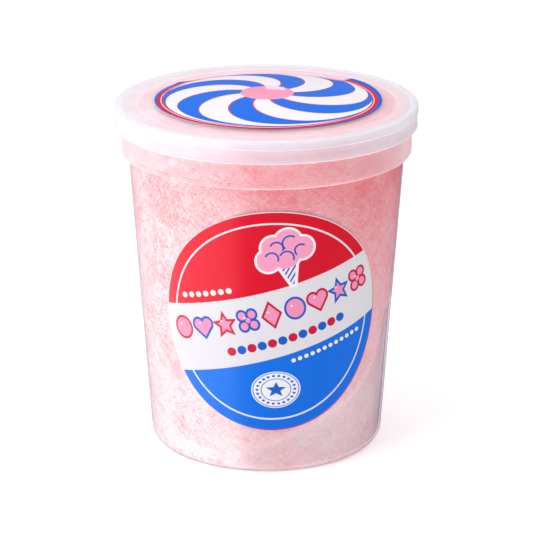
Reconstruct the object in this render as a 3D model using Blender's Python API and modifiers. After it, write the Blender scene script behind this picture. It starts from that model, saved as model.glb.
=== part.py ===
"""Round clear tub of cotton candy with a milky push-fit lid and two round stickers.

Metres, +Z up, origin at the centre of the foot ring. The side sticker faces -Y.
"""

import math

import bpy

MM = 0.001

# Tub: a thin tapered wall, a wider straight collar above it and a rolled rim
WALL = 0.8 * MM
BASE_RADIUS = 45.4 * MM          # tapered wall carried down to the table
BODY_TOP_RADIUS = 53.33 * MM     # tapered wall where it meets the collar's ledge
LEDGE_HEIGHT = 116.7 * MM
COLLAR_RADIUS = 56.1 * MM
COLLAR_FOOT = 118.3 * MM         # lowest point of the straight collar
COLLAR_TOP = 133.4 * MM
RIM_RADIUS = 56.9 * MM
RIM_TOP = 134.9 * MM
CORNER_RADIUS = 7.5 * MM
FOOT_RING_WIDTH = 2.0 * MM
RECESS = 0.9 * MM                # the floor inside the foot ring stands this high
FLOOR = 0.9 * MM

# Lid: domed panel, shallow groove, flat ring, rounded shoulder and skirt
LID_RADIUS = 58.5 * MM
LID_WALL = 0.8 * MM
DOME_TOP = 139.4 * MM
DOME_DROP = 2.7 * MM             # fall of the dome from its centre to DROP_RADIUS
DROP_RADIUS = 43.65 * MM
PANEL_RADIUS = 48.8 * MM
GROOVE_RADIUS = 50.3 * MM
GROOVE_HEIGHT = 135.5 * MM
RING_INNER_RADIUS = 51.6 * MM
RING_OUTER_RADIUS = 55.4 * MM
RING_HEIGHT = 136.1 * MM
CREST_RADIUS = 56.6 * MM
CREST_HEIGHT = 136.3 * MM
SKIRT_RADIUS = 58.1 * MM
SHOULDER_FOOT = 132.8 * MM       # the shoulder stands a little proud of the skirt
SKIRT_FOOT = 127.4 * MM
CATCH_RADIUS = 56.5 * MM         # inward bead that catches under the tub's rim
FIN_OUTER_RADIUS = 54.9 * MM     # sealing fin inside the tub's mouth
FIN_INNER_RADIUS = 54.2 * MM
FIN_FOOT = 132.6 * MM

# Cotton candy
CANDY_FOOT = 2.6 * MM
CANDY_TOP = 137.4 * MM
CANDY_SHOULDER = 130.6 * MM      # where the side turns over into the top
CANDY_CORNER = 9.0 * MM
CANDY_GAP = 0.45 * MM            # where it presses on the wall
CANDY_SHRINK = 1.9 * MM          # how far it has settled away from the wall low down
CANDY_LUMP = 0.8 * MM

# Stickers
GAP = 0.3 * MM
STICKER = 0.2 * MM
SIDE_STICKER_RADIUS = 44.7 * MM
SIDE_STICKER_HEIGHT = 63.4 * MM
SIDE_STICKER_TURN = math.radians(3.0)
LID_STICKER_RADIUS = 43.65 * MM
LIFT = 1.3 * MM                  # a stretch of the lid sticker's edge has come unstuck
LIFT_TURN = math.radians(36.0)
LIFT_SPREAD = math.radians(15.0)
LIFT_DEPTH = 9.0 * MM

STEPS = 56
STICKER_STEPS = 36
STICKER_RINGS = 6
CANDY_STEPS = 40

SLOPE = (BODY_TOP_RADIUS - BASE_RADIUS) / LEDGE_HEIGHT
TAPER = math.atan(SLOPE)


def clear_scene():
    for item in list(bpy.data.objects):
        bpy.data.objects.remove(item, do_unlink=True)


def new_collection(name):
    collection = bpy.data.collections.new(name)
    bpy.context.scene.collection.children.link(collection)
    return collection


def plastic(name, color, roughness, alpha=1.0):
    material = bpy.data.materials.new(name)
    material.use_nodes = True
    shader = material.node_tree.nodes["Principled BSDF"]
    shader.inputs["Base Color"].default_value = (*color, 1.0)
    shader.inputs["Roughness"].default_value = roughness
    shader.inputs["Metallic"].default_value = 0.0
    shader.inputs["Alpha"].default_value = alpha
    return material


def arc(center, radius, start, end, count):
    """Points on a circle in the (radius, height) plane, angles in radians."""
    points = []
    for i in range(count + 1):
        turn = start + (end - start) * i / count
        points.append((center[0] + radius * math.cos(turn), center[1] + radius * math.sin(turn)))
    return points


def turned(name, profile, steps, collection, material):
    """Turns (radius, height) points about Z; they run out from the axis, then down the outer side."""
    mesh = bpy.data.meshes.new(name)
    edges = [(i, i + 1) for i in range(len(profile) - 1)]
    mesh.from_pydata([(radius, 0.0, height) for radius, height in profile], edges, [])
    piece = bpy.data.objects.new(name, mesh)
    piece.data.materials.append(material)
    collection.objects.link(piece)
    screw = piece.modifiers.new("Turn", "SCREW")
    screw.axis = "Z"
    screw.angle = math.tau
    screw.steps = steps
    screw.render_steps = steps
    screw.use_merge_vertices = True
    screw.merge_threshold = 0.00001
    return piece


def mesh_of(piece):
    """Turns a piece with modifiers into the plain mesh that they make."""
    depsgraph = bpy.context.evaluated_depsgraph_get()
    mesh = bpy.data.meshes.new_from_object(piece.evaluated_get(depsgraph))
    piece.modifiers.clear()
    piece.data = mesh
    return mesh


def smooth(piece, degrees=35.0):
    mesh = piece.data
    mesh.shade_smooth()
    mesh.set_sharp_from_angle(angle=math.radians(degrees))


def wall_radius(height):
    return BASE_RADIUS + SLOPE * height


def dome_height(radius):
    return DOME_TOP - DOME_DROP * (radius / DROP_RADIUS) ** 2


def make_tub(collection):
    material = plastic("tub_plastic", (0.93, 0.92, 0.94), 0.08, alpha=0.3)
    inner_corner = CORNER_RADIUS - WALL
    corner_x = BASE_RADIUS - CORNER_RADIUS * (1 - math.sin(TAPER)) / math.cos(TAPER)
    corner = (corner_x, CORNER_RADIUS)
    ring_inner = corner_x - FOOT_RING_WIDTH
    recess_radius = ring_inner - RECESS
    inner_wall_top = wall_radius(LEDGE_HEIGHT) - WALL

    profile = [(0.0, RECESS + FLOOR), (recess_radius - 0.5 * FLOOR, RECESS + FLOOR), (ring_inner, WALL)]
    profile += arc(corner, inner_corner, -math.pi / 2, -TAPER, 5)
    profile += [(inner_wall_top, LEDGE_HEIGHT + 0.5 * WALL)]
    profile += [(COLLAR_RADIUS - WALL, COLLAR_FOOT + WALL), (COLLAR_RADIUS - WALL, RIM_TOP - 0.3 * MM)]
    profile += [(COLLAR_RADIUS - 0.5 * MM, RIM_TOP), (RIM_RADIUS - 0.4 * MM, RIM_TOP)]
    profile += [(RIM_RADIUS, RIM_TOP - 0.4 * MM), (RIM_RADIUS, COLLAR_TOP + 0.2 * MM)]
    profile += [(COLLAR_RADIUS, COLLAR_TOP), (COLLAR_RADIUS - 0.1 * MM, COLLAR_FOOT)]
    profile += [(COLLAR_RADIUS - 0.4 * MM, COLLAR_FOOT - 0.8 * MM), (BODY_TOP_RADIUS + 0.4 * MM, LEDGE_HEIGHT)]
    profile += [(wall_radius(LEDGE_HEIGHT - 0.5 * MM), LEDGE_HEIGHT - 0.5 * MM)]
    profile += arc(corner, CORNER_RADIUS, -TAPER, -math.pi / 2, 6)
    profile += [(ring_inner, 0.0), (recess_radius, RECESS), (0.0, RECESS)]

    tub = turned("tub", profile, STEPS, collection, material)
    mesh_of(tub)
    smooth(tub)


def make_lid(collection):
    material = plastic("lid_plastic", (0.90, 0.89, 0.92), 0.35, alpha=0.7)
    dome_radii = [PANEL_RADIUS * i / 5 for i in range(6)]
    under_radii = [(PANEL_RADIUS - 0.3 * MM) * i / 4 for i in range(4, -1, -1)]

    profile = [(radius, dome_height(radius)) for radius in dome_radii]
    profile += [(GROOVE_RADIUS, GROOVE_HEIGHT), (RING_INNER_RADIUS, RING_HEIGHT)]
    profile += [(RING_OUTER_RADIUS, RING_HEIGHT), (CREST_RADIUS, CREST_HEIGHT)]
    profile += arc((LID_RADIUS - 1.2 * MM, CREST_HEIGHT - 1.3 * MM), 1.2 * MM, math.radians(75), 0.0, 3)
    profile += [(LID_RADIUS, SHOULDER_FOOT + 0.3 * MM), (SKIRT_RADIUS, SHOULDER_FOOT)]
    profile += [(SKIRT_RADIUS, SKIRT_FOOT + 0.8 * MM), (SKIRT_RADIUS + 0.15 * MM, SKIRT_FOOT + 0.4 * MM)]
    profile += [(SKIRT_RADIUS - 0.2 * MM, SKIRT_FOOT), (CATCH_RADIUS + 0.2 * MM, SKIRT_FOOT)]
    profile += [(CATCH_RADIUS, SKIRT_FOOT + 0.5 * MM), (SKIRT_RADIUS - LID_WALL, SKIRT_FOOT + 1.6 * MM)]
    profile += [(SKIRT_RADIUS - LID_WALL, RING_HEIGHT - LID_WALL)]
    profile += [(FIN_OUTER_RADIUS, RING_HEIGHT - LID_WALL), (FIN_OUTER_RADIUS, FIN_FOOT + 0.4 * MM)]
    profile += [(FIN_INNER_RADIUS, FIN_FOOT), (FIN_INNER_RADIUS, RING_HEIGHT - LID_WALL)]
    profile += [(RING_INNER_RADIUS, RING_HEIGHT - LID_WALL), (GROOVE_RADIUS, GROOVE_HEIGHT - LID_WALL)]
    profile += [(radius, dome_height(radius) - LID_WALL) for radius in under_radii]

    lid = turned("lid", profile, STEPS, collection, material)
    mesh_of(lid)
    smooth(lid)


def candy_inset(turn, height):
    """How far the candy stands off the tub's wall; it has settled more low down and on one side."""
    settled = min(1.0, max(0.0, (88.0 * MM - height) / (45.0 * MM)))
    settled = settled * settled * (3.0 - 2.0 * settled)
    side = 0.65 + 0.35 * math.cos(turn - math.radians(-20.0))
    waves = math.sin(3.0 * turn + 90.0 * height) * math.sin(2.0 * turn - 140.0 * height + 1.0)
    waves += 0.6 * math.sin(7.0 * turn + 210.0 * height + 2.0)
    return CANDY_GAP + settled * (CANDY_SHRINK * side + 0.3 * CANDY_LUMP * (1.6 + waves))


def make_cotton_candy(collection):
    material = plastic("candy_floss", (0.96, 0.62, 0.68), 0.9)
    inner_foot = wall_radius(0.0) - WALL
    corner = (inner_foot - CANDY_CORNER, CANDY_FOOT + CANDY_CORNER)
    collar_inner = COLLAR_RADIUS - WALL
    side_levels = [30, 48, 66, 84, 102]

    profile = [(0.0, CANDY_TOP), (16.0 * MM, CANDY_TOP - 0.4 * MM), (32.0 * MM, CANDY_TOP - 1.6 * MM)]
    profile += [(44.0 * MM, CANDY_TOP - 2.8 * MM), (51.0 * MM, CANDY_TOP - 3.8 * MM)]
    profile += [(collar_inner - 0.8 * MM, CANDY_SHOULDER), (collar_inner, CANDY_SHOULDER - 3.0 * MM)]
    profile += [(collar_inner, COLLAR_FOOT + 1.4 * MM)]
    profile += [(wall_radius(LEDGE_HEIGHT) - WALL, LEDGE_HEIGHT + 0.5 * MM)]
    profile += [(wall_radius(level * MM) - WALL, level * MM) for level in reversed(side_levels)]
    profile += [(wall_radius(16.0 * MM) - WALL, 16.0 * MM)]
    profile += arc(corner, CANDY_CORNER, -TAPER, -math.pi / 2, 3)[1:]
    profile += [(18.0 * MM, CANDY_FOOT), (0.0, CANDY_FOOT)]

    candy = turned("cotton_candy", profile, CANDY_STEPS, collection, material)
    mesh = mesh_of(candy)
    for vertex in mesh.vertices:
        radius = math.hypot(vertex.co.x, vertex.co.y)
        if radius < 1.0 * MM:
            continue
        turn = math.atan2(vertex.co.y, vertex.co.x)
        share = (radius - candy_inset(turn, vertex.co.z)) / radius
        vertex.co.x *= share
        vertex.co.y *= share
        if vertex.co.z > CANDY_SHOULDER:
            dip = 1.0 + math.sin(2.0 * turn + 60.0 * radius) * math.cos(3.0 * turn - 110.0 * radius)
            vertex.co.z -= 0.4 * CANDY_LUMP * dip
    smooth(candy, 60.0)


def sticker_disc(name, radius, collection, material):
    """A flat disc of rings about the origin, facing +Z, ready to be laid on a surface."""
    profile = [(radius * ring / STICKER_RINGS, 0.0) for ring in range(STICKER_RINGS + 1)]
    piece = turned(name, profile, STICKER_STEPS, collection, material)
    mesh_of(piece)
    return piece


def thicken(piece):
    solid = piece.modifiers.new("Thickness", "SOLIDIFY")
    solid.thickness = STICKER
    solid.offset = 1.0
    solid.use_even_offset = True
    smooth(piece)


def make_side_sticker(collection):
    material = plastic("side_sticker_vinyl", (0.80, 0.05, 0.16), 0.35)
    piece = sticker_disc("side_label", SIDE_STICKER_RADIUS, collection, material)
    # The cone is unrolled: a flat point turns into a distance and an angle from the cone's tip
    tip = wall_radius(SIDE_STICKER_HEIGHT) / math.sin(TAPER)
    for vertex in piece.data.vertices:
        across, up = vertex.co.x, vertex.co.y
        slant = math.hypot(across, tip + up)
        turn = SIDE_STICKER_TURN + math.atan2(across, tip + up) / math.sin(TAPER)
        radius = slant * math.sin(TAPER) + GAP
        vertex.co = (
            radius * math.sin(turn),
            -radius * math.cos(turn),
            SIDE_STICKER_HEIGHT + (slant - tip) * math.cos(TAPER),
        )
    thicken(piece)


def make_lid_sticker(collection):
    material = plastic("lid_sticker_vinyl", (0.05, 0.25, 0.90), 0.35)
    piece = sticker_disc("lid_label", LID_STICKER_RADIUS, collection, material)
    for vertex in piece.data.vertices:
        radius = math.hypot(vertex.co.x, vertex.co.y)
        turn = math.atan2(vertex.co.y, vertex.co.x) - LIFT_TURN
        turn = math.atan2(math.sin(turn), math.cos(turn))
        near_edge = max(0.0, 1.0 - (LID_STICKER_RADIUS - radius) / LIFT_DEPTH)
        lift = LIFT * near_edge**2 * math.exp(-((turn / LIFT_SPREAD) ** 2))
        vertex.co.z = dome_height(radius) + GAP + lift
    thicken(piece)


def main():
    clear_scene()
    collection = new_collection("cotton_candy_tub")
    make_tub(collection)
    make_lid(collection)
    make_cotton_candy(collection)
    make_side_sticker(collection)
    make_lid_sticker(collection)


main()
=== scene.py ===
import math

import bpy
import numpy as np
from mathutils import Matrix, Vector, noise


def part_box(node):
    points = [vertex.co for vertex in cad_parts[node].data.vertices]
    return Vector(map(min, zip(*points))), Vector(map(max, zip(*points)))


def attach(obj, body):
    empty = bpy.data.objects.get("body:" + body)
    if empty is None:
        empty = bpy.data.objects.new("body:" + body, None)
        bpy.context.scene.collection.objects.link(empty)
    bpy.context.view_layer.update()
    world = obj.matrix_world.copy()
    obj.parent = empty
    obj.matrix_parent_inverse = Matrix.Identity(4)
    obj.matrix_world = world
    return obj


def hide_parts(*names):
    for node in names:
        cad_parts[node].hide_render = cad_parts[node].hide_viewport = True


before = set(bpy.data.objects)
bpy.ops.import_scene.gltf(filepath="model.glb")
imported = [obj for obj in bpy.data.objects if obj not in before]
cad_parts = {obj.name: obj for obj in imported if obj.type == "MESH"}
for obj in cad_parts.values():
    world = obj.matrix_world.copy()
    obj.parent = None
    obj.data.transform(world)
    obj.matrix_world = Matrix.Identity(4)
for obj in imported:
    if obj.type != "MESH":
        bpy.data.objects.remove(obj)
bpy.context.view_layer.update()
mm = 0.001

tubLow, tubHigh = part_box("tub")
lidLow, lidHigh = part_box("lid")
candyLow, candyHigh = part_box("cotton_candy")
print("frame loaded:", sorted(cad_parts))

bpy.context.scene.view_settings.view_transform = "Standard"


# ---- shader maths written as expressions ----

class Wire:
    # A number or colour that varies over a surface; operators add Math nodes
    def __init__(self, paint, socket):
        self.paint = paint
        self.socket = socket

    def __add__(self, other): return self.paint.maths("ADD", self, other)
    def __radd__(self, other): return self.paint.maths("ADD", other, self)
    def __sub__(self, other): return self.paint.maths("SUBTRACT", self, other)
    def __rsub__(self, other): return self.paint.maths("SUBTRACT", other, self)
    def __mul__(self, other): return self.paint.maths("MULTIPLY", self, other)
    def __rmul__(self, other): return self.paint.maths("MULTIPLY", other, self)
    def __truediv__(self, other): return self.paint.maths("DIVIDE", self, other)
    def __pow__(self, other): return self.paint.maths("POWER", self, other)
    def __neg__(self): return self.paint.maths("MULTIPLY", self, -1.0)
    def __abs__(self): return self.paint.maths("ABSOLUTE", self)


class Paint:
    # A material or world while its nodes are being laid out
    def __init__(self, name, library=bpy.data.materials):
        self.owner = library.new(name)
        self.owner.use_nodes = True
        self.tree = self.owner.node_tree
        self.tree.nodes.clear()

    def node(self, kind, settings=None, sockets=None, out=0):
        made = self.tree.nodes.new("ShaderNode" + kind)
        for key, value in (settings or {}).items():
            if key == "stops":
                setStops(made.color_ramp, value)
            else:
                setattr(made, key, value)
        for key, value in (sockets or {}).items():
            if isinstance(value, Wire):
                self.tree.links.new(value.socket, made.inputs[key])
            else:
                made.inputs[key].default_value = value
        return Wire(self, made.outputs[out]) if made.outputs else None

    def maths(self, operation, *values, clamp=False):
        sockets = dict(enumerate(values))
        return self.node("Math", {"operation": operation, "use_clamp": clamp}, sockets)

    def least(self, first, *rest):
        for other in rest:
            first = self.maths("MINIMUM", first, other)
        return first

    def most(self, first, *rest):
        for other in rest:
            first = self.maths("MAXIMUM", first, other)
        return first

    def clamped(self, value):
        return self.maths("ADD", value, 0.0, clamp=True)

    def length(self, x, y):
        return self.maths("SQRT", x * x + y * y)

    def inside(self, distance, soft=0.09):
        # 1 where a signed distance in mm is below zero, with a soft edge
        return self.maths("MULTIPLY_ADD", distance, -1.0 / soft, 0.5, clamp=True)

    def partsOf(self, vector):
        parts = self.tree.nodes.new("ShaderNodeSeparateXYZ")
        self.tree.links.new(vector.socket, parts.inputs[0])
        return [Wire(self, parts.outputs[i]) for i in range(3)]

    def position(self):
        # Object coordinates in mm
        spot = self.node("TexCoord", out=3)
        scaled = self.node("VectorMath", {"operation": "SCALE"}, {0: spot, "Scale": 1 / mm})
        return scaled, self.partsOf(scaled)

    def flatPlace(self, mapName, span):
        # The piece's own flat map, as mm from its middle
        x, y, _ = self.partsOf(self.node("UVMap", {"uv_map": mapName}))
        return (x - 0.5) * span, (y - 0.5) * span

    def cloud(self, spot, scale, detail=2.0, roughness=0.5, distortion=0.0, stretch=None):
        if stretch:
            spot = self.node("Mapping", None, {"Vector": spot, "Scale": stretch})
        sockets = {"Vector": spot, "Scale": scale, "Detail": detail,
                   "Roughness": roughness, "Distortion": distortion}
        return self.node("TexNoise", None, sockets)

    def spread(self, value, low, high, newLow=0.0, newHigh=1.0):
        sockets = {"Value": value, "From Min": low, "From Max": high,
                   "To Min": newLow, "To Max": newHigh}
        return self.node("MapRange", {"clamp": True, "interpolation_type": "SMOOTHSTEP"}, sockets)

    def blend(self, share, below, above):
        # A and B are the colour sockets of a Mix node
        made = self.tree.nodes.new("ShaderNodeMix")
        made.data_type = "RGBA"
        for key, value in ((0, share), (6, below), (7, above)):
            if isinstance(value, Wire):
                self.tree.links.new(value.socket, made.inputs[key])
            else:
                made.inputs[key].default_value = value
        return Wire(self, made.outputs[2])

    def bump(self, height, strength, depth):
        sockets = {"Height": height, "Strength": strength, "Distance": depth}
        return self.node("Bump", None, sockets)

    def lettingLightIn(self, shader, tint):
        # Rays from lamps pass, so that thin cloudy plastic doesn't darken what is behind it
        passing = self.node("BsdfTransparent", None, {"Color": (*tint, 1)})
        return self.node("MixShader", None, {0: self.node("LightPath", out=1), 1: shader, 2: passing})

    def surface(self, shader):
        self.node("OutputMaterial", None, {"Surface": shader})
        return self.owner


def setStops(ramp, stops):
    while len(ramp.elements) > 1:
        ramp.elements.remove(ramp.elements[-1])
    for i, (place, color) in enumerate(stops):
        stop = ramp.elements[0] if i == 0 else ramp.elements.new(place)
        stop.position = place
        stop.color = color


def ink(red, green, blue):
    # A screen colour, 0 to 255, as the linear colour that shaders use
    parts = []
    for value in (red, green, blue):
        share = value / 255
        parts.append(share / 12.92 if share <= 0.04045 else ((share + 0.055) / 1.055) ** 2.4)
    return (*parts, 1.0)


# ---- modelling helpers ----

def addRing(name, radius, height, sides):
    bpy.ops.object.select_all(action="DESELECT")
    bpy.ops.mesh.primitive_circle_add(vertices=sides, radius=radius, location=(0, 0, height))
    piece = bpy.context.active_object
    piece.name = name
    piece.data.name = name
    return piece


def pullOutline(piece, outline):
    # Each ring is extruded to the next point of the outline and scaled to its radius
    bpy.ops.object.mode_set(mode="EDIT")
    bpy.ops.mesh.select_mode(type="EDGE")
    bpy.ops.mesh.select_all(action="SELECT")
    for before, after in zip(outline, outline[1:]):
        bpy.ops.mesh.extrude_region_move(
            TRANSFORM_OT_translate={"value": (0, 0, after[1] - before[1])})
        share = after[0] / before[0]
        bpy.ops.transform.resize(value=(share, share, 1), center_override=(0, 0, after[1]))
    bpy.ops.object.mode_set(mode="OBJECT")


def closePoles(piece):
    # The small open rings left on the axis are drawn together to a point each
    bpy.ops.object.mode_set(mode="EDIT")
    bpy.ops.mesh.select_mode(type="VERT")
    bpy.ops.mesh.select_all(action="DESELECT")
    bpy.ops.mesh.select_non_manifold()
    bpy.ops.mesh.merge(type="COLLAPSE")
    bpy.ops.mesh.select_all(action="SELECT")
    bpy.ops.mesh.normals_make_consistent(inside=False)
    bpy.ops.object.mode_set(mode="OBJECT")


def settle(piece, smoothAngle=40):
    # Puts a finished piece's place into its mesh and shades it
    bpy.ops.object.select_all(action="DESELECT")
    piece.select_set(True)
    bpy.context.view_layer.objects.active = piece
    bpy.ops.object.transform_apply(location=True, rotation=True, scale=True)
    bpy.ops.object.shade_smooth_by_angle(angle=math.radians(smoothAngle))


def roundOff(corners, fineness=12):
    # Corners are (radius, height, rounding) in mm; each rounded one becomes an arc
    points = []
    for i, (radius, height, rounding) in enumerate(corners):
        here = Vector((radius, height))
        if rounding == 0 or i in (0, len(corners) - 1):
            points.append(here)
            continue
        back = Vector(corners[i - 1][:2]) - here
        ahead = Vector(corners[i + 1][:2]) - here
        opening = back.angle(ahead)
        reach = min(rounding / math.tan(opening / 2), 0.48 * back.length, 0.48 * ahead.length)
        size = reach * math.tan(opening / 2)
        back.normalize()
        ahead.normalize()
        middle = here + (back + ahead).normalized() * size / math.sin(opening / 2)
        spoke = here + back * reach - middle
        side = 1 if back.x * ahead.y - back.y * ahead.x < 0 else -1
        sweep = math.pi - opening
        count = max(2, math.ceil(math.degrees(sweep) / fineness))
        for k in range(count + 1):
            turn = side * sweep * k / count
            cos, sin = math.cos(turn), math.sin(turn)
            points.append(middle + Vector((spoke.x * cos - spoke.y * sin,
                                           spoke.x * sin + spoke.y * cos)))
    return [(max(p.x, 0.2) * mm, p.y * mm) for p in points]


def turnedPiece(name, corners, sides):
    outline = roundOff(corners)
    piece = addRing(name, outline[0][0], outline[0][1], sides)
    pullOutline(piece, outline)
    closePoles(piece)
    settle(piece)
    return piece


def finish(piece, material, slotName, *nodes):
    piece.data.materials.clear()
    piece.data.materials.append(material)
    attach(piece, "root")
    if nodes:
        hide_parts(*nodes)


# ---- tub ----

tub = {
    "sides": 192,
    "wall": 0.8,
    "baseRadius": 45.4,            # the tapered wall carried down to the table
    "topRadius": 53.33,            # where it meets the ledge under the collar
    "ledge": 116.7,
    "collarRadius": 56.1,
    "collarFoot": 118.1,
    "collarTop": 133.4,
    "rimRadius": 56.9,
    "rimTop": 134.9,
    "corner": 7.5,
    "footRing": 36.4,
    "recess": 0.9,
    "floor": 0.9,
    "haze": 0.02,
}
tub["slope"] = (tub["topRadius"] - tub["baseRadius"]) / tub["ledge"]


def wallRadius(height):
    return tub["baseRadius"] + tub["slope"] * height


def tubOutline():
    wall = tub["wall"]
    innerTop = tub["ledge"] + 0.4 * wall
    collar, rim = tub["collarRadius"], tub["rimRadius"]
    inside = [
        (0.2, tub["recess"] + tub["floor"], 0),
        (tub["footRing"] - 1.4, tub["recess"] + tub["floor"], 0.5),
        (tub["footRing"] - 0.2, wall, 0.5),
        (wallRadius(0) - wall, wall, tub["corner"] - wall),
        (wallRadius(innerTop) - wall, innerTop, 0.5),
        (collar - wall, innerTop + 1.2, 0.8),
        (collar - wall, tub["rimTop"], 0.3),
    ]
    outside = [
        (rim, tub["rimTop"], 0.5),
        (rim, tub["collarTop"], 0.2),
        (collar, tub["collarTop"], 0.15),
        (collar, tub["collarFoot"] + 1.7, 0.12),
        (collar - 0.14, tub["collarFoot"] + 1.45, 0.1),    # fine mould line above the ledge
        (collar, tub["collarFoot"] + 1.2, 0.12),
        (collar - 0.05, tub["collarFoot"] - 0.5, 0.7),
        (wallRadius(tub["ledge"]) + 0.15, tub["ledge"] - 0.3, 0.25),
        (wallRadius(tub["ledge"] - 1.1), tub["ledge"] - 1.1, 0.6),
        (wallRadius(0), 0, tub["corner"]),
        (tub["footRing"], 0, 0.3),
        (tub["footRing"] - 1.0, tub["recess"], 0.4),
        (4.2, tub["recess"], 0.2),
        (3.9, tub["recess"] - 0.25, 0.15),                 # moulding gate in the middle
        (0.9, tub["recess"] - 0.25, 0.1),
        (0.8, tub["recess"] - 0.6, 0.1),
        (0.2, tub["recess"] - 0.6, 0),
    ]
    return inside + outside


def makeTubMaterial():
    paint = Paint("clearPlastic")
    spot, (x, y, z) = paint.position()
    ripple = paint.cloud(spot, 0.035, 2.0, 0.45, stretch=(1, 1, 0.45))
    grain = paint.cloud(spot, 1.6, 2.0)
    normal = paint.bump(ripple + grain * 0.015, 0.5, 0.8 * mm)
    facing = paint.node("LayerWeight", {}, {"Blend": 0.5, "Normal": normal}, out=1)
    clear = paint.node("BsdfTransparent", None, {"Color": (0.995, 0.99, 0.995, 1)})
    dusk = paint.node("BsdfTransparent", None, {"Color": (0.70, 0.61, 0.71, 1)})
    through = paint.node("MixShader", None, {0: facing ** 4.4, 1: clear, 2: dusk})
    gloss = paint.node("BsdfGlossy", None, {"Color": (1, 1, 1, 1), "Roughness": 0.2,
                                            "Normal": normal})
    shine = paint.node("MixShader", None, {0: 0.03 + facing ** 7.0 * 0.3, 1: through, 2: gloss})
    # The collar and ledge are thicker and cloudier than the wall
    collar = paint.spread(z, tub["ledge"] - 0.4, tub["ledge"] + 0.8)
    lines = paint.inside(abs(z - tub["ledge"] - 0.9) - 0.55, 0.5)
    foot = paint.spread(z, 1.0, 9.0, 1.0, 0.0)
    rim = paint.spread(z, 126.0, 128.0)
    haze = tub["haze"] + lines * 0.12 + foot * 0.03 + rim * 0.3 + collar * (0.14 + facing * facing * 1.7)
    milk = paint.node("BsdfDiffuse", None, {"Color": (0.92, 0.89, 0.92, 1)})
    glow = paint.node("BsdfTranslucent", None, {"Color": (0.95, 0.88, 0.90, 1)})
    cloudy = paint.node("MixShader", None, {0: 0.4, 1: milk, 2: glow})
    wall = paint.node("MixShader", None, {0: haze, 1: shine, 2: cloudy})
    return paint.surface(paint.lettingLightIn(wall, (0.97, 0.955, 0.965)))


clearTub = turnedPiece("clearTub", tubOutline(), tub["sides"])
finish(clearTub, makeTubMaterial(), "tub_plastic", "tub")
print("tub made:", len(clearTub.data.vertices), "points")


# ---- lid ----

lid = {
    "sides": 192,
    "wall": 0.8,
    "radius": 58.5,
    "domeTop": 139.4,
    "domeDrop": 2.7,               # fall of the dome from the middle to dropRadius
    "dropRadius": 43.65,
    "panelRadius": 48.8,
    "grooveRadius": 50.2,
    "grooveHeight": 135.5,
    "ringInner": 51.6,
    "ringOuter": 55.3,
    "ringHeight": 136.05,
    "crest": 136.3,
    "skirtRadius": 58.1,
    "shoulderFoot": 132.85,
    "skirtFoot": 127.4,
    "finOuter": 54.9,
    "finInner": 54.2,
    "finFoot": 132.6,
}


def ease(value):
    value = min(1.0, max(0.0, value))
    return value * value * (3 - 2 * value)


def domeHeight(radius):
    return lid["domeTop"] - lid["domeDrop"] * (radius / lid["dropRadius"]) ** 2


def panelDip(x, y):
    # The thin panel bulges a little towards the front and rolls over at the back
    radius = math.hypot(x, y)
    back = y / max(radius, 1.0)
    whole = (-0.45 * max(0.0, back) + 0.2 * max(0.0, -back)) * (radius / 44) ** 2
    roll = min(1.1, max(0.0, radius - 37.5) / 6.2) ** 2 * ease((back - 0.60) / 0.2)
    return (whole - 0.75 * roll) * (1 - ease((radius - 44.4) / 4.4))


def lidOutline():
    wall, skirt, rise = lid["wall"], lid["skirtRadius"], lid["ringHeight"]
    panel = np.linspace(0.2, lid["panelRadius"], 40)
    top = [(r, domeHeight(r), 0) for r in panel]
    rim = [
        (lid["grooveRadius"], lid["grooveHeight"], 0.5),
        (lid["ringInner"], rise, 0.5),
        (lid["ringOuter"], rise - 0.05, 0.4),
        (lid["ringOuter"] + 0.9, lid["crest"], 0.5),
        (lid["radius"] - 0.1, lid["crest"], 1.1),
        (lid["radius"], lid["shoulderFoot"] + 0.25, 0.25),
        (skirt - 0.1, lid["shoulderFoot"] - 0.1, 0.12),
        (skirt, lid["shoulderFoot"] - 0.5, 0.2),
        (skirt, lid["skirtFoot"] + 1.0, 0.3),
        (skirt + 0.2, lid["skirtFoot"] + 0.5, 0.3),
        (skirt - 0.1, lid["skirtFoot"], 0.25),
        (skirt - 1.3, lid["skirtFoot"] + 0.1, 0.2),
        (skirt - 1.5, lid["skirtFoot"] + 0.6, 0.2),
        (skirt - wall, lid["skirtFoot"] + 1.7, 0.3),
        (skirt - wall, rise - wall, 0.4),
        (lid["finOuter"], rise - wall, 0.3),
        (lid["finOuter"], lid["finFoot"] + 0.4, 0.3),
        (lid["finInner"], lid["finFoot"], 0.2),
        (lid["finInner"], rise - wall, 0.3),
        (lid["ringInner"], rise - wall, 0.3),
        (lid["grooveRadius"], lid["grooveHeight"] - wall, 0.3),
    ]
    under = [(r, domeHeight(r) - wall, 0) for r in panel[::-1][1:]]
    return top + rim + under


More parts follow.
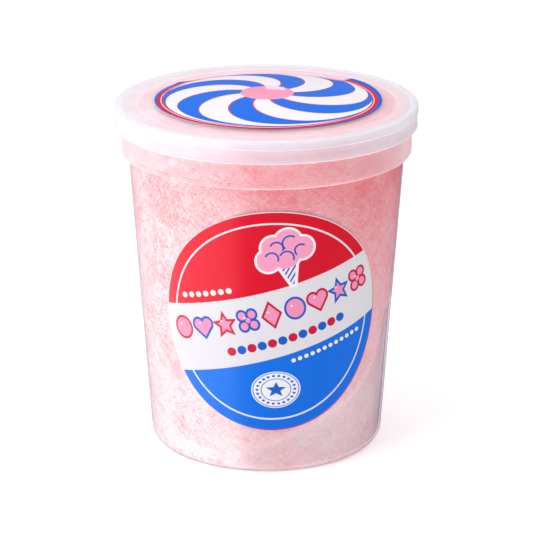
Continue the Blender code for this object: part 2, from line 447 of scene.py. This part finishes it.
def makeLidMaterial():
    paint = Paint("milkyPlastic")
    spot, (x, y, z) = paint.position()
    radius = paint.length(x, y)
    ripple = paint.cloud(spot, 0.05, 3.0, 0.5)
    grain = paint.cloud(spot, 2.2, 2.0)
    normal = paint.bump(ripple + grain * 0.02, 0.5, 0.7 * mm)
    # The film is thin over the panel and builds up at the folds of the rim
    rimShare = paint.spread(radius, 48.6, 49.8)
    top = paint.spread(z, lid["shoulderFoot"], lid["crest"] - 0.4)
    foldLines = paint.inside(abs(radius - 50.9) - 0.35, 0.4)
    foldLines = paint.most(foldLines, paint.inside(abs(z - lid["shoulderFoot"]) - 0.15, 0.3))
    foldLines = paint.most(foldLines, paint.inside(abs(z - lid["skirtFoot"] - 0.5) - 0.25, 0.4))
    mottled = paint.spread(paint.cloud(spot, 0.08, 3.0), 0.3, 0.7, -0.03, 0.03)
    facing = paint.node("LayerWeight", {}, {"Blend": 0.5, "Normal": normal}, out=1)
    onTop = facing * facing * 0.25 + rimShare * 0.22 + 0.38
    onSide = facing * facing * 0.9 + 0.33
    milkShare = top * onTop + (1 - top) * onSide + foldLines * 0.14 + mottled
    milk = paint.node("BsdfPrincipled", None, {
        "Base Color": (0.82, 0.835, 0.855, 1), "Roughness": 0.34, "IOR": 1.45,
        "Specular IOR Level": 0.3, "Normal": normal})
    glow = paint.node("BsdfTranslucent", None, {"Color": (0.91, 0.94, 0.96, 1)})
    body = paint.node("MixShader", None, {0: 0.48, 1: milk, 2: glow})
    clear = paint.node("BsdfTransparent", None, {"Color": (0.985, 0.965, 0.988, 1)})
    gloss = paint.node("BsdfGlossy", None, {"Color": (1, 1, 1, 1), "Roughness": 0.28,
                                            "Normal": normal})
    shine = paint.node("MixShader", None, {0: 0.03 + facing ** 5.0 * 0.5, 1: clear, 2: gloss})
    film = paint.node("MixShader", None, {0: milkShare, 1: shine, 2: body})
    return paint.surface(paint.lettingLightIn(film, (0.91, 0.89, 0.91)))


pressedLid = turnedPiece("pressedLid", lidOutline(), lid["sides"])
for point in pressedLid.data.vertices:
    if math.hypot(point.co.x, point.co.y) < lid["panelRadius"] * mm:
        point.co.z += panelDip(point.co.x / mm, point.co.y / mm) * mm
finish(pressedLid, makeLidMaterial(), "lid_plastic", "lid")
print("lid made:", len(pressedLid.data.vertices), "points")


# ---- cotton candy ----

candy = {
    "sides": 360,
    "step": 0.96,                  # spacing of its rings along the outline
    "clear": 0.3,                  # clear plastic left in front of it where it is pressed on the wall
    "underLid": 0.35,              # room left between it and the lid
    "shrink": 1.3,                 # where it has settled away from the wall
    # How high it has settled: degrees round from the right, height
    "settled": [(-180, 8), (-90, 14), (-60, 24), (-46, 29.5), (-34, 36), (-27, 42), (-19, 60),
                (0, 63), (40, 58), (80, 40), (130, 16), (180, 8)],
    "lump": 0.8,
    "strands": 2200,
    "strandSteps": 11,
    "seed": 7,
}


def candyOutline():
    clear = candy["clear"]
    collar = tub["collarRadius"] - clear
    floor = tub["recess"] + tub["floor"] - 0.2
    drop = lid["wall"] + candy["underLid"]
    roof = [(r, domeHeight(r) - drop, 0) for r in (0.2, 10, 20, 28, 35, 41, 46)]
    corners = roof + [
        (49.2, 134.5, 1.5),
        (53.5, 134.2, 1.0),
        (53.9, 132.2, 1.0),
        (collar, 130.8, 1.5),
        (collar, tub["collarFoot"] + 0.2, 0.9),
        (wallRadius(tub["ledge"]) - clear, tub["ledge"] + 0.3, 0.6),
        (wallRadius(0) - clear, clear, tub["corner"] - clear),
        (tub["footRing"] + 0.6, clear, 0.5),
        (tub["footRing"] - 1.0, floor, 0.5),
        (0.2, floor, 0),
    ]
    points = np.array(roundOff(corners, 8)) / mm
    along = np.concatenate([[0], np.cumsum(np.hypot(*np.diff(points, axis=0).T))])
    count = int(along[-1] / candy["step"])
    even = np.linspace(0, along[-1], count + 1)
    return even, np.interp(even, along, points[:, 0]), np.interp(even, along, points[:, 1])


def settledTop(turn):
    # The uneven line up to which the candy has come away from the wall
    degrees, heights = zip(*candy["settled"])
    wobble = noise.noise(Vector((5 * math.cos(turn), 5 * math.sin(turn), 0.0)))
    return float(np.interp(math.degrees(turn), degrees, heights)) + 4 * wobble


def candyDepth(place, turn, share):
    # How far the surface lies behind its outline; share is 1 on the side, 0 at the axis
    x, y, z = place
    warp = noise.noise_vector(Vector((x, y, z)) * 0.045) * 9
    spot = Vector((x, y, z)) + warp
    lumps = noise.fractal(spot * 0.075, 1.0, 2.0, 3)
    combed = noise.noise(Vector((spot.x * 0.16, spot.y * 0.16, spot.z * 0.75)))
    drawn = noise.noise(Vector((spot.x * 0.62, spot.y * 0.62, spot.z * 0.14)) + Vector((9, 4, 2)))
    fluff = abs(combed) * 0.35 + abs(drawn) * 0.3
    settled = ease((settledTop(turn) - z) / 10) * ease(z / 7) * share
    rough = 0.12 + 0.88 * settled + 0.5 * (1 - share)
    return max(0.0, candy["shrink"] * settled + rough * (candy["lump"] * (0.3 + lumps) + fluff))


class CandySkin:
    # The candy's outer surface: a point for any place along its outline and turn round it
    def __init__(self):
        self.along, self.radius, self.height = candyOutline()
        self.length = self.along[-1]
        outward = np.gradient(np.stack([self.radius, self.height]), self.along, axis=1)
        size = np.hypot(outward[0], outward[1])
        self.normalOut = -outward[1] / size
        self.normalUp = outward[0] / size

    def at(self, along, turn, lift=0.0):
        radius = float(np.interp(along, self.along, self.radius))
        height = float(np.interp(along, self.along, self.height))
        out = float(np.interp(along, self.along, self.normalOut))
        up = float(np.interp(along, self.along, self.normalUp))
        share = ease((radius - 20) / 24)
        place = (radius * math.cos(turn), radius * math.sin(turn), height)
        depth = max(candyDepth(place, turn, share) - lift, 0.0)
        radius -= out * depth
        height -= up * depth
        if height > 132:
            height += min(0.0, panelDip(place[0], place[1]))
        return (radius * math.cos(turn), radius * math.sin(turn), height), depth


def makeCandyCore(skin):
    outline = [(max(r, 0.2) * mm, z * mm) for r, z in zip(skin.radius, skin.height)]
    core = addRing("candyFloss", outline[0][0], outline[0][1], candy["sides"])
    pullOutline(core, outline)
    touching = []
    settle(core)
    # Every point is pressed in behind the wall by the depth of the fluff there
    rings = len(outline)
    sides = candy["sides"]
    for i, point in enumerate(core.data.vertices):
        turn = math.atan2(point.co.y, point.co.x)
        ring = i // sides
        spot, depth = skin.at(skin.along[ring], turn)
        point.co = Vector(spot) * mm
        # The line where it leaves the wall is sharp at the front right and fades out elsewhere
        fade = 2.5 + 6.5 * ease((abs(math.degrees(turn) + 60) - 45) / 30)
        touching.append(ease((spot[2] - settledTop(turn)) / fade + 0.5))
    assert len(core.data.vertices) == rings * sides
    pressed = core.data.attributes.new("pressed", "FLOAT", "POINT")
    pressed.data.foreach_set("value", touching)
    closePoles(core)
    settle(core, 180)
    return core


def makeStrands(skin):
    # Thin threads that wander over the surface, each a tapered three-sided tube
    rng = np.random.default_rng(candy["seed"])
    steps = candy["strandSteps"]
    points, faces = [], []
    for strand in range(candy["strands"]):
        along = rng.uniform(0.02, 0.98) * skin.length
        turn = rng.uniform(-math.pi, math.pi)
        start, depth = skin.at(along, turn)
        lean = 0.9 * noise.noise(Vector(start) * 0.03) * math.pi + rng.normal(0, 0.35)
        bend = rng.normal(0, 0.10)
        reach = rng.uniform(0.7, 1.7)
        width = rng.uniform(0.035, 0.075)
        lift = rng.uniform(0.02, 0.12)
        wave = rng.uniform(0, math.tau)
        path = []
        for step in range(steps):
            rise = lift * math.sin(math.pi * step / (steps - 1)) + 0.06 * math.sin(wave + step)
            spot, depth = skin.at(along, turn, rise)
            path.append(Vector(spot))
            radius = max(4.0, math.hypot(spot[0], spot[1]))
            turn += reach * math.cos(lean) / radius
            along = min(skin.length - 1, max(1.0, along + reach * math.sin(lean)))
            lean += bend + rng.normal(0, 0.08)
        first = len(points)
        for step, here in enumerate(path):
            ahead = path[min(step + 1, steps - 1)] - path[max(step - 1, 0)]
            ahead.normalize()
            side = ahead.cross(Vector((here.x, here.y, 0.01)))
            side.normalize()
            out = side.cross(ahead)
            thick = width * (0.25 + 0.75 * math.sin(math.pi * (step + 0.5) / steps))
            for corner in range(3):
                angle = math.tau * corner / 3
                rim = here + (side * math.cos(angle) + out * math.sin(angle)) * thick
                points.append(tuple(rim * mm))
        for step in range(steps - 1):
            for corner in range(3):
                a = first + step * 3 + corner
                b = first + step * 3 + (corner + 1) % 3
                faces.append((a, b, b + 3, a + 3))
        last = first + (steps - 1) * 3
        faces.append((first + 2, first + 1, first))
        faces.append((last, last + 1, last + 2))
    mesh = bpy.data.meshes.new("candyStrands")
    mesh.from_pydata(points, [], faces)
    piece = bpy.data.objects.new("candyStrands", mesh)
    bpy.context.scene.collection.objects.link(piece)
    settle(piece, 60)
    return piece


def slantedFloss(paint, spot, z, lean, scale):
    # Streaks that climb round the tub at a slant
    turned = paint.node("VectorRotate", {"rotation_type": "Z_AXIS"}, {"Vector": spot, "Angle": z * lean})
    return paint.cloud(turned, scale, 3.0, 0.6, 0.7, stretch=(1, 1, 0.2))


def makeCandyMaterial(name, softness, paler=0.0):
    paint = Paint(name)
    spot, (x, y, z) = paint.position()
    patches = paint.cloud(spot, 0.07, 3.0, 0.55, 0.6)
    wisps = paint.cloud(spot, 0.30, 4.0, 0.62, 1.2, stretch=(1, 1, 1.4))
    rising = slantedFloss(paint, spot, z, 0.022, 1.1)
    falling = slantedFloss(paint, spot, z, -0.017, 1.3)
    flat = paint.cloud(spot, 1.5, 3.0, 0.6, 0.7, stretch=(0.3, 0.3, 1.3))
    grain = paint.cloud(spot, 1.6, 4.0, 0.75)
    height = paint.spread(z, 4.0, 120.0)
    # Painted light and shade: 0 on the lit left, 1 on the shaded right
    right = paint.spread(x, -50.0, 10.0)
    pressed = paint.node("Attribute", {"attribute_name": "pressed"}, out=2)
    # Painted shadow: a deeper band just under the ledge, deeper towards the right
    underLedgeShadow = paint.spread(z, 100.0, 115.5) * paint.spread(z, 116.4, 117.2, 1.0, 0.0)
    # Deeper pink towards the top and where it is pressed on the wall; paler on the left and deeper on the right is
    # painted light and shade from the lamp on the left, with more painted shade at the far right and a painted
    # shadow under the ledge
    # Painted shade: deeper pink at the far right, more so higher up
    farRightShade = paint.spread(x, 8.0, 48.0)
    depth = 0.12 + right * 0.13 + height * (0.31 + right * 0.03) + pressed * 0.12
    depth = depth + farRightShade * (height * 0.2 - 0.05) + underLedgeShadow * (right * 0.16 - 0.04) - paler
    streaks = (rising + falling + flat) * 0.33
    # The mottling is stronger in colour on the left: painted shade standing in for relief that the head-on light
    # there leaves flat
    fluff = paint.spread(patches, 0.3, 0.7, -0.10, 0.10) + (wisps - 0.5) * 0.7
    fluff = fluff + (streaks - 0.5) * 1.8 + (grain - 0.5) * (1.5 - right * 0.7)
    depth = depth + fluff * (2.1 - right * 1.35)
    # Single fibres catch the light where one set of streaks crosses its middle value
    fibres = paint.inside(paint.least(abs(rising - 0.5), abs(falling - 0.5)) - 0.006, 0.012)
    depth = depth - fibres * 0.16
    tone = paint.node("ValToRGB", {"stops": [
        (0.0, ink(252, 236, 238)), (0.24, ink(251, 211, 215)), (0.50, ink(250, 182, 187)),
        (0.80, ink(243, 134, 142)), (1.0, ink(235, 104, 115))]}, {"Fac": depth * 0.8})
    fuzz = streaks * 1.4 + wisps * 0.9 + grain * 0.4 + fibres * 0.15
    normal = paint.bump(fuzz, 0.24, 0.35 * mm)
    shader = paint.node("BsdfPrincipled", None, {
        "Base Color": tone, "Roughness": 0.85, "Specular IOR Level": 0.1,
        "Subsurface Weight": softness, "Subsurface Radius": (1.0, 0.6, 0.6),
        "Subsurface Scale": 1.5 * mm, "Sheen Weight": 0.15, "Sheen Roughness": 0.6,
        "Normal": normal})
    return paint.surface(shader)


skin = CandySkin()
candyCore = makeCandyCore(skin)
finish(candyCore, makeCandyMaterial("candyFloss", 0.45), "candy_floss", "cotton_candy")
print("candy made:", len(candyCore.data.vertices), "points")
candyStrands = makeStrands(skin)
finish(candyStrands, makeCandyMaterial("candyThread", 0.0, 0.1), "candy_floss")
print("strands made:", len(candyStrands.data.polygons), "faces")


# ---- stickers ----

def flatDisc(name, radius, rings, sides):
    # A flat disc of rings with a map of its own, ready to be laid on a curved surface
    outline = [(0.3 * mm, 0)] + [(radius * mm * share, 0) for share in rings]
    piece = addRing(name, outline[0][0], 0, sides)
    pullOutline(piece, outline)
    bpy.ops.object.mode_set(mode="EDIT")
    bpy.ops.mesh.select_mode(type="VERT")
    bpy.ops.mesh.select_all(action="DESELECT")
    bpy.ops.object.mode_set(mode="OBJECT")
    for point in piece.data.vertices:
        point.select = point.co.length < 0.5 * mm
    bpy.ops.object.mode_set(mode="EDIT")
    bpy.ops.mesh.merge(type="COLLAPSE")
    bpy.ops.mesh.select_all(action="SELECT")
    bpy.ops.mesh.normals_make_consistent(inside=False)
    bpy.ops.object.mode_set(mode="OBJECT")
    if piece.data.polygons[0].normal.z < 0:
        piece.data.flip_normals()
    flatMap = piece.data.uv_layers.new(name="flat")
    for loop in piece.data.loops:
        place = piece.data.vertices[loop.vertex_index].co
        flatMap.data[loop.index].uv = (0.5 + place.x / mm / (2.1 * radius),
                                       0.5 + place.y / mm / (2.1 * radius))
    return piece


def thicken(piece, thickness):
    solid = piece.modifiers.new("thickness", "SOLIDIFY")
    solid.thickness = thickness * mm
    solid.offset = 1
    bpy.ops.object.select_all(action="DESELECT")
    piece.select_set(True)
    bpy.context.view_layer.objects.active = piece
    bpy.ops.object.modifier_apply(modifier=solid.name)
    settle(piece)


sideSticker = {
    "radius": 44.7,
    "height": 63.4,
    "turn": 3.0,                   # degrees round from the front
    "gap": 0.08,
    "thickness": 0.16,
    "tilt": 15.3,                  # slope of the white band
    "bandTop": 12.75,              # band edges, from the middle
    "bandFoot": -14.2,
    "ring": 39.9,                  # thin white ring
    "ringWidth": 0.72,
    "bigRow": {"low": -41.2, "high": 41.6, "count": 9, "height": 3.3, "size": 4.75},
    "smallRow": {"low": -20.5, "high": 27.5, "count": 12, "height": -8.0, "size": 1.75},
    "topDots": {"low": -34.0, "high": -11.5, "count": 7, "height": 16.2, "size": 1.15},
    "footDots": {"low": 2.0, "high": 33.0, "count": 12, "height": -17.3, "size": 0.85},
    "badge": {"x": 1.1, "y": -27.7, "wide": 9.4, "tall": 7.6},
    "puff": {"x": 4.4, "y": 26.6},
}


def layOnWall(piece):
    # The tapered wall is unrolled: a flat point becomes a slant height and an angle
    taper = math.atan(tub["slope"])
    tip = wallRadius(sideSticker["height"]) / math.sin(taper)
    for point in piece.data.vertices:
        across, up = point.co.x / mm, point.co.y / mm
        slant = math.hypot(across, tip + up)
        turn = math.radians(sideSticker["turn"]) + math.atan2(across, tip + up) / math.sin(taper)
        radius = slant * math.sin(taper) + sideSticker["gap"]
        height = sideSticker["height"] + (slant - tip) * math.cos(taper)
        point.co = Vector((radius * math.sin(turn), -radius * math.cos(turn), height)) * mm


def rowOf(paint, along, across, row):
    # Place inside the nearest cell of a row, the cell's number, and how far past its ends
    pitch = (row["high"] - row["low"]) / row["count"]
    number = paint.maths("FLOOR", (along - row["low"]) / pitch)
    inCell = along - row["low"] - (number + 0.5) * pitch
    past = paint.most(row["low"] - along, along - row["high"])
    return inCell, across - row["height"], number, past


def starShape(paint, x, y, outer, inner, tips):
    # Distance past the straight edge that runs from a tip to the notch beside it
    half = math.pi / tips
    wedge = paint.maths("PINGPONG", paint.maths("ARCTAN2", x, y), half)
    reach = paint.length(x, y)
    edgeX, edgeY = inner * math.cos(half) - outer, inner * math.sin(half)
    size = math.hypot(edgeX, edgeY)
    past = (reach * paint.maths("COSINE", wedge) - outer) * (edgeY / size)
    return past + reach * paint.maths("SINE", wedge) * (-edgeX / size)


def heartShape(paint, x, y, size):
    # Two round lobes on the upper edges of a square that stands on its corner
    step = 0.414 * size
    side, up = abs(x), y + 0.22 * size
    lobe = paint.length(side - step, up - step) - step * 1.4142
    point = (side + abs(up) - 2 * step) * 0.7071
    return paint.least(lobe, point)


def flowerShape(paint, x, y, size):
    petals = [paint.length(abs(x) - 0.42 * size, abs(y) - 0.42 * size) - 0.50 * size]
    return paint.least(paint.length(x, y) - 0.4 * size, *petals)


def bandRow(paint, color, along, across):
    # Gumballs, hearts, stars and lozenges with a red or blue edge and a pink filling
    row = sideSticker["bigRow"]
    x, y, number, past = rowOf(paint, along, across, row)
    x = x * 1.13                   # a little taller than wide
    size = row["size"]
    kind = paint.maths("MODULO", number, 5.0)
    shapes = [
        paint.length(x, y) - size,
        heartShape(paint, x, y, size * 1.08),
        starShape(paint, x, y + 0.3, size * 1.24, size * 0.58, 5),
        flowerShape(paint, x, y, size * 1.08),
        (abs(x) * 1.14 + abs(y) * 0.88) * 0.7071 - size * 0.78,
    ]
    shape = 0.0
    for i, each in enumerate(shapes):
        chosen = paint.inside(abs(kind - i) - 0.5, 0.01)
        shape = chosen * each + shape
    shape = paint.most(shape, past)
    odd = paint.inside(0.5 - paint.maths("MODULO", number, 2.0), 0.01)
    edge = paint.blend(odd, ink(205, 18, 58), ink(14, 92, 200))
    color = paint.blend(paint.inside(shape), color, edge)
    color = paint.blend(paint.inside(shape + 0.95), color, ink(244, 150, 186))
    glint = paint.length(x + size * 0.26, (y - size * 0.28) * 1.3) - size * 0.13
    return paint.blend(paint.inside(paint.most(glint, past)), color, ink(252, 214, 228))


def dotRow(paint, color, along, across, row, inks):
    x, y, number, past = rowOf(paint, along, across, row)
    dot = paint.most(paint.length(x, y) - row["size"], past)
    odd = paint.inside(0.5 - paint.maths("MODULO", number, 2.0), 0.01)
    return paint.blend(paint.inside(dot), color, paint.blend(odd, *inks))


def candyPuff(paint, color, along, across):
    # A puff of floss on a paper cone, drawn with white, pink and blue lines
    lobes = [(-6.6, 0.2, 4.3), (-3.4, 4.6, 4.6), (2.4, 5.6, 4.9), (6.9, 1.6, 4.4), (0.2, 0.4, 5.2)]
    fluff = paint.least(*[paint.length(along - x, across - y) - r for x, y, r in lobes])
    drop = (-2.0) - across
    cone = paint.most(abs(along) - 3.9 + drop * 0.33, -drop, drop - 9.8)
    both = paint.least(fluff, cone)
    color = paint.blend(paint.inside(both - 0.9), color, ink(250, 240, 246))
    color = paint.blend(paint.inside(cone), color, ink(246, 232, 240))
    stripe = abs(paint.maths("PINGPONG", along * 0.5 + drop * 0.5 + 20.0, 1.1) - 0.55) - 0.22
    color = paint.blend(paint.inside(paint.most(stripe, cone + 0.3)), color, ink(10, 88, 190))
    color = paint.blend(paint.inside(fluff), color, ink(250, 160, 194))
    curls = [(-5.2, 0.6, 2.5, 1), (-2.4, 4.2, 2.5, 1), (3.0, 4.9, 2.8, -1), (6.2, 0.8, 2.3, -1), (0.3, -0.6, 2.7, 1)]
    for x, y, r, way in curls:
        ring = abs(paint.length(along - x, across - y) - r) - 0.34
        cut = (across - y) * -0.8 - (along - x) * 0.6 * way
        color = paint.blend(paint.inside(paint.most(ring, cut)), color, ink(12, 88, 190))
    return color


def badge(paint, color, x, y):
    # A white oval with a ring of dots round a star
    size = sideSticker["badge"]
    bx = (x - size["x"]) / size["wide"]
    by = (y - size["y"]) / size["tall"]
    reach = paint.length(bx, by)
    blue = ink(14, 96, 206)
    color = paint.blend(paint.inside(reach - 1.0, 0.015), color, ink(240, 240, 246))
    color = paint.blend(paint.inside(abs(reach - 0.93) - 0.018, 0.015), color, blue)
    color = paint.blend(paint.inside(abs(reach - 0.60) - 0.018, 0.015), color, blue)
    angle = paint.maths("ARCTAN2", bx, by) + math.pi
    dots = 22
    cell = (paint.maths("FRACT", angle * (dots / math.tau)) - 0.5) * (math.tau / dots)
    dot = paint.length(cell * 0.77, reach - 0.765) - 0.062
    color = paint.blend(paint.inside(dot, 0.02), color, blue)
    star = starShape(paint, bx, by, 0.44, 0.19, 5)
    return paint.blend(paint.inside(star, 0.02), color, blue)


def satinPrint(paint, color, spot, bumpy=0.5, gloss=0.14):
    ripple = paint.cloud(spot, 0.06, 2.0)
    smudges = paint.cloud(spot, 0.22, 2.0)
    normal = paint.bump(ripple, bumpy, 0.35 * mm)
    rough = paint.spread(smudges, 0.3, 0.7, 0.28, 0.34)
    return paint.surface(paint.node("BsdfPrincipled", None, {
        "Base Color": color, "Roughness": rough, "Specular IOR Level": gloss,
        "Normal": normal}))


def makeSideStickerMaterial():
    paint = Paint("sideStickerPrint")
    spot, _ = paint.position()
    x, y = paint.flatPlace("flat", 2.1 * sideSticker["radius"])
    tilt = math.radians(sideSticker["tilt"])
    along = x * math.cos(tilt) + y * math.sin(tilt)
    across = y * math.cos(tilt) - x * math.sin(tilt)
    reach = paint.length(x, y)
    red, blue = ink(222, 0, 38), ink(0, 112, 230)

    # A thin pale rim at the upper left and a thin red rim at the lower right, from a red disc set off-centre under
    # the print
    under = paint.inside(paint.length(x - 0.5, y + 0.5) - 44.2)
    color = paint.blend(under, ink(236, 232, 238), ink(214, 20, 70))
    field = paint.blend(paint.inside(-across), blue, red)
    ring = abs(reach - sideSticker["ring"]) - sideSticker["ringWidth"] / 2
    field = paint.blend(paint.inside(ring), field, ink(222, 226, 236))
    band = paint.most(across - sideSticker["bandTop"], sideSticker["bandFoot"] - across)
    field = paint.blend(paint.inside(band), field, ink(228, 225, 231))
    color = paint.blend(paint.inside(reach - 44.36), color, field)

    color = bandRow(paint, color, along, across)
    color = dotRow(paint, color, along, across, sideSticker["smallRow"],
                   (ink(206, 18, 58), ink(10, 96, 205)))
    pale = (ink(248, 240, 244), ink(248, 240, 244))
    color = dotRow(paint, color, along, across, sideSticker["topDots"], pale)
    color = dotRow(paint, color, along, across, sideSticker["footDots"], pale)
    puff = sideSticker["puff"]
    px = (x - puff["x"]) * math.cos(tilt) + (y - puff["y"]) * math.sin(tilt)
    py = (y - puff["y"]) * math.cos(tilt) - (x - puff["x"]) * math.sin(tilt)
    color = candyPuff(paint, color, px, py)
    color = badge(paint, color, x, y)
    return satinPrint(paint, color, spot, 0.25, 0.2)


lidSticker = {
    "radius": 43.8,
    "shift": 0.55,                 # stuck on slightly to the right
    "gap": 0.05,
    "thickness": 0.12,
    "lift": 1.3,                   # a stretch of its edge has come unstuck
    "liftDepth": 9.0,
    "arms": 6,
    "firstArm": 36.5,              # degrees to the first blue arm's edge
    "armShare": 0.475,
    "disc": 10.2,
    "armsEnd": 40.1,
}


def layOnDome(piece):
    for point in piece.data.vertices:
        x, y = point.co.x / mm, point.co.y / mm
        nearEdge = max(0.0, 1 - (lidSticker["radius"] - math.hypot(x, y)) / lidSticker["liftDepth"])
        x += lidSticker["shift"]
        turn = math.degrees(math.atan2(y, x))
        # Raised from the right round to a sharp crease, with a small blister at the back left
        raised = ease((turn + 14) / 48) * (1 - ease((turn - 41) / 5))
        blister = math.exp(-((turn - 143) / 3.5) ** 2)
        lift = nearEdge ** 2 * (lidSticker["lift"] * raised + 0.35 * blister)
        height = domeHeight(math.hypot(x, y)) + panelDip(x, y) + lidSticker["gap"] + lift
        point.co = Vector((x, y, height)) * mm


def makeLidStickerMaterial():
    paint = Paint("pinwheelPrint")
    spot, _ = paint.position()
    x, y = paint.flatPlace("flat", 2.1 * lidSticker["radius"])
    x = x + 0.25                   # the print is off the sticker's own middle
    reach = paint.length(x, y)
    shifted = paint.length(x - 0.1, y + 1.25)
    blue, white, red = ink(0, 108, 232), ink(244, 239, 246), ink(212, 14, 52)
    color = paint.blend(paint.inside(paint.length(x - 0.45, y) - 43.85), ink(238, 240, 248), ink(12, 92, 206))
    color = paint.blend(paint.inside(shifted - 42.5), color, red)
    color = paint.blend(paint.inside(abs(shifted - 40.9) - 0.2), color, ink(246, 214, 222))

    # Curved arms: the edge's angle runs ahead of the radius, steeply near the rim
    share = (reach - lidSticker["disc"]) / (lidSticker["armsEnd"] - lidSticker["disc"])
    share = paint.most(share, 0.0)
    sweep = 46 * share ** 1.35 + 14 * share ** 8.0 + 16 * share ** 25.0
    angle = paint.maths("ARCTAN2", y, x) * (180 / math.pi)
    pitch = 360 / lidSticker["arms"]
    cell = paint.maths("FRACT", (angle - sweep - lidSticker["firstArm"]) / pitch + 10)
    half = lidSticker["armShare"] / 2
    toEdge = (abs(cell - half) - half)
    # Degrees become mm across the arm, so that the outline keeps its width
    slant = paint.maths("MULTIPLY", reach, math.radians(pitch) * 0.8)
    edge = toEdge * slant
    other = (1 - cell) * slant
    arms = paint.blend(paint.inside(edge), white, blue)
    line = paint.least(abs(edge) - 0.24, other - 0.24)
    arms = paint.blend(paint.inside(line), arms, ink(196, 40, 72))
    color = paint.blend(paint.inside(shifted - lidSticker["armsEnd"]), color, arms)
    color = paint.blend(paint.inside(reach - lidSticker["disc"]), color, ink(248, 156, 188))
    # A pale patch lies over the back of the pink disc
    palePatch = paint.most(abs(x - 3.1) - 3.7, 4.4 - y - (x - 3.1) * 0.15, reach - 10.6)
    color = paint.blend(paint.inside(palePatch), color, ink(246, 218, 230))
    return satinPrint(paint, color, spot, 0.45)


def ringShares(radius, step):
    count = int(radius / step)
    return [(i + 1) / count for i in range(count)]


sidePrint = flatDisc("sideSticker", sideSticker["radius"], ringShares(sideSticker["radius"], 2.0), 144)
layOnWall(sidePrint)
thicken(sidePrint, sideSticker["thickness"])
finish(sidePrint, makeSideStickerMaterial(), "side_sticker", "side_label")
print("side sticker made:", len(sidePrint.data.vertices), "points")

lidPrint = flatDisc("lidSticker", lidSticker["radius"], ringShares(lidSticker["radius"], 1.0), 240)
layOnDome(lidPrint)
thicken(lidPrint, lidSticker["thickness"])
finish(lidPrint, makeLidStickerMaterial(), "lid_sticker", "lid_label")
print("lid sticker made:", len(lidPrint.data.vertices), "points")


# ---- floor, lights and camera ----

studio = {
    "cameraDistance": 1.0,
    "cameraHeight": 0.069,         # the point looked at, on the tub's axis
    "elevation": 18.57,
    "lens": 171.9,
    "dome": 0.42,                  # soft light from all round
    "ground": 0.1,                 # what gloss mirrors below the horizon
    "leftPanel": 6.2,
    "rightPanel": 0.3,
    "floorGlow": 0.26,
}


def addFloor():
    bpy.ops.object.select_all(action="DESELECT")
    bpy.ops.mesh.primitive_circle_add(vertices=96, radius=4, fill_type="NGON", location=(0, 0, 0))
    floor = bpy.context.active_object
    floor.name = "paleFloor"
    paint = Paint("paleFloor")
    spot, (x, y, z) = paint.position()
    speck = paint.cloud(spot, 0.02, 2.0)
    tone = paint.blend(speck, (0.90, 0.90, 0.905, 1), (0.92, 0.92, 0.925, 1))
    far = paint.spread(paint.length(x, y), 450.0, 2500.0)
    matte = paint.node("BsdfDiffuse", None, {"Color": tone})
    near = paint.node("Emission", None, {"Color": (1, 1, 1, 1), "Strength": studio["floorGlow"]})
    lit = paint.node("AddShader", None, {0: matte, 1: near})
    white = paint.node("Emission", None, {"Color": (1, 1, 1, 1), "Strength": 1.0})
    floor.data.materials.append(paint.surface(paint.node("MixShader", None, {0: far, 1: lit, 2: white})))
    floor.visible_glossy = False   # gloss sees the two low panels instead


def addSoftbox(name, place, target, size, power, tint=(1, 1, 1)):
    bpy.ops.object.select_all(action="DESELECT")
    bpy.ops.object.light_add(type="AREA", location=place)
    lamp = bpy.context.active_object
    lamp.name = name
    lamp.data.shape = "RECTANGLE"
    lamp.data.size, lamp.data.size_y = size
    lamp.data.energy = power
    lamp.data.color = tint
    lamp.rotation_euler = (Vector(target) - Vector(place)).to_track_quat("-Z", "Y").to_euler()


def addCamera():
    up = math.radians(studio["elevation"])
    middle = Vector((0, 0, studio["cameraHeight"]))
    back = Vector((0, -math.cos(up), math.sin(up)))
    bpy.ops.object.camera_add(location=middle + back * studio["cameraDistance"])
    camera = bpy.context.active_object
    camera.rotation_euler = (-back).to_track_quat("-Z", "Y").to_euler()
    camera.data.lens = studio["lens"]
    camera.data.sensor_width = 36
    camera.data.clip_start = 0.01
    camera.data.clip_end = 20
    bpy.context.scene.camera = camera


def addWorld():
    # White to the camera, a dimmer dome as a light, and two low panels that gloss mirrors
    paint = Paint("studio", bpy.data.worlds)
    x, y, z = paint.partsOf(paint.node("TexCoord", out=0))
    turn = paint.maths("ARCTAN2", x, -y) * (180 / math.pi)    # degrees to the right of the front
    left = paint.spread(turn, -34.0, -18.0, 1.0, 0.0) * paint.spread(turn, -175.0, -105.0)
    right = paint.spread(turn, 60.0, 68.0) * paint.spread(turn, 84.0, 96.0, 1.0, 0.0)
    low = left * studio["leftPanel"] + right * studio["rightPanel"] + studio["ground"]
    upper = paint.spread(z, -0.04, 0.04)
    light = upper * studio["dome"] + (1 - upper) * low
    direct = paint.node("LightPath", out=0)
    shown = paint.node("Background", None, {"Strength": direct + (1 - direct) * light})
    paint.node("OutputWorld", None, {"Surface": shown})
    bpy.context.scene.world = paint.owner
    paint.owner.cycles.sampling_method = "NONE"


addFloor()
addSoftbox("keySoftbox", (-0.62, -0.50, 0.80), (0, 0, 0.07), (0.6, 0.8), 4.4)
addSoftbox("fillSoftbox", (0.7, -0.9, 0.5), (0, 0, 0.07), (0.6, 0.8), 0.72)
addSoftbox("skySoftbox", (0, 0.3, 2.2), (0, 0.3, 0), (2.8, 2.8), 40)
addWorld()
addCamera()
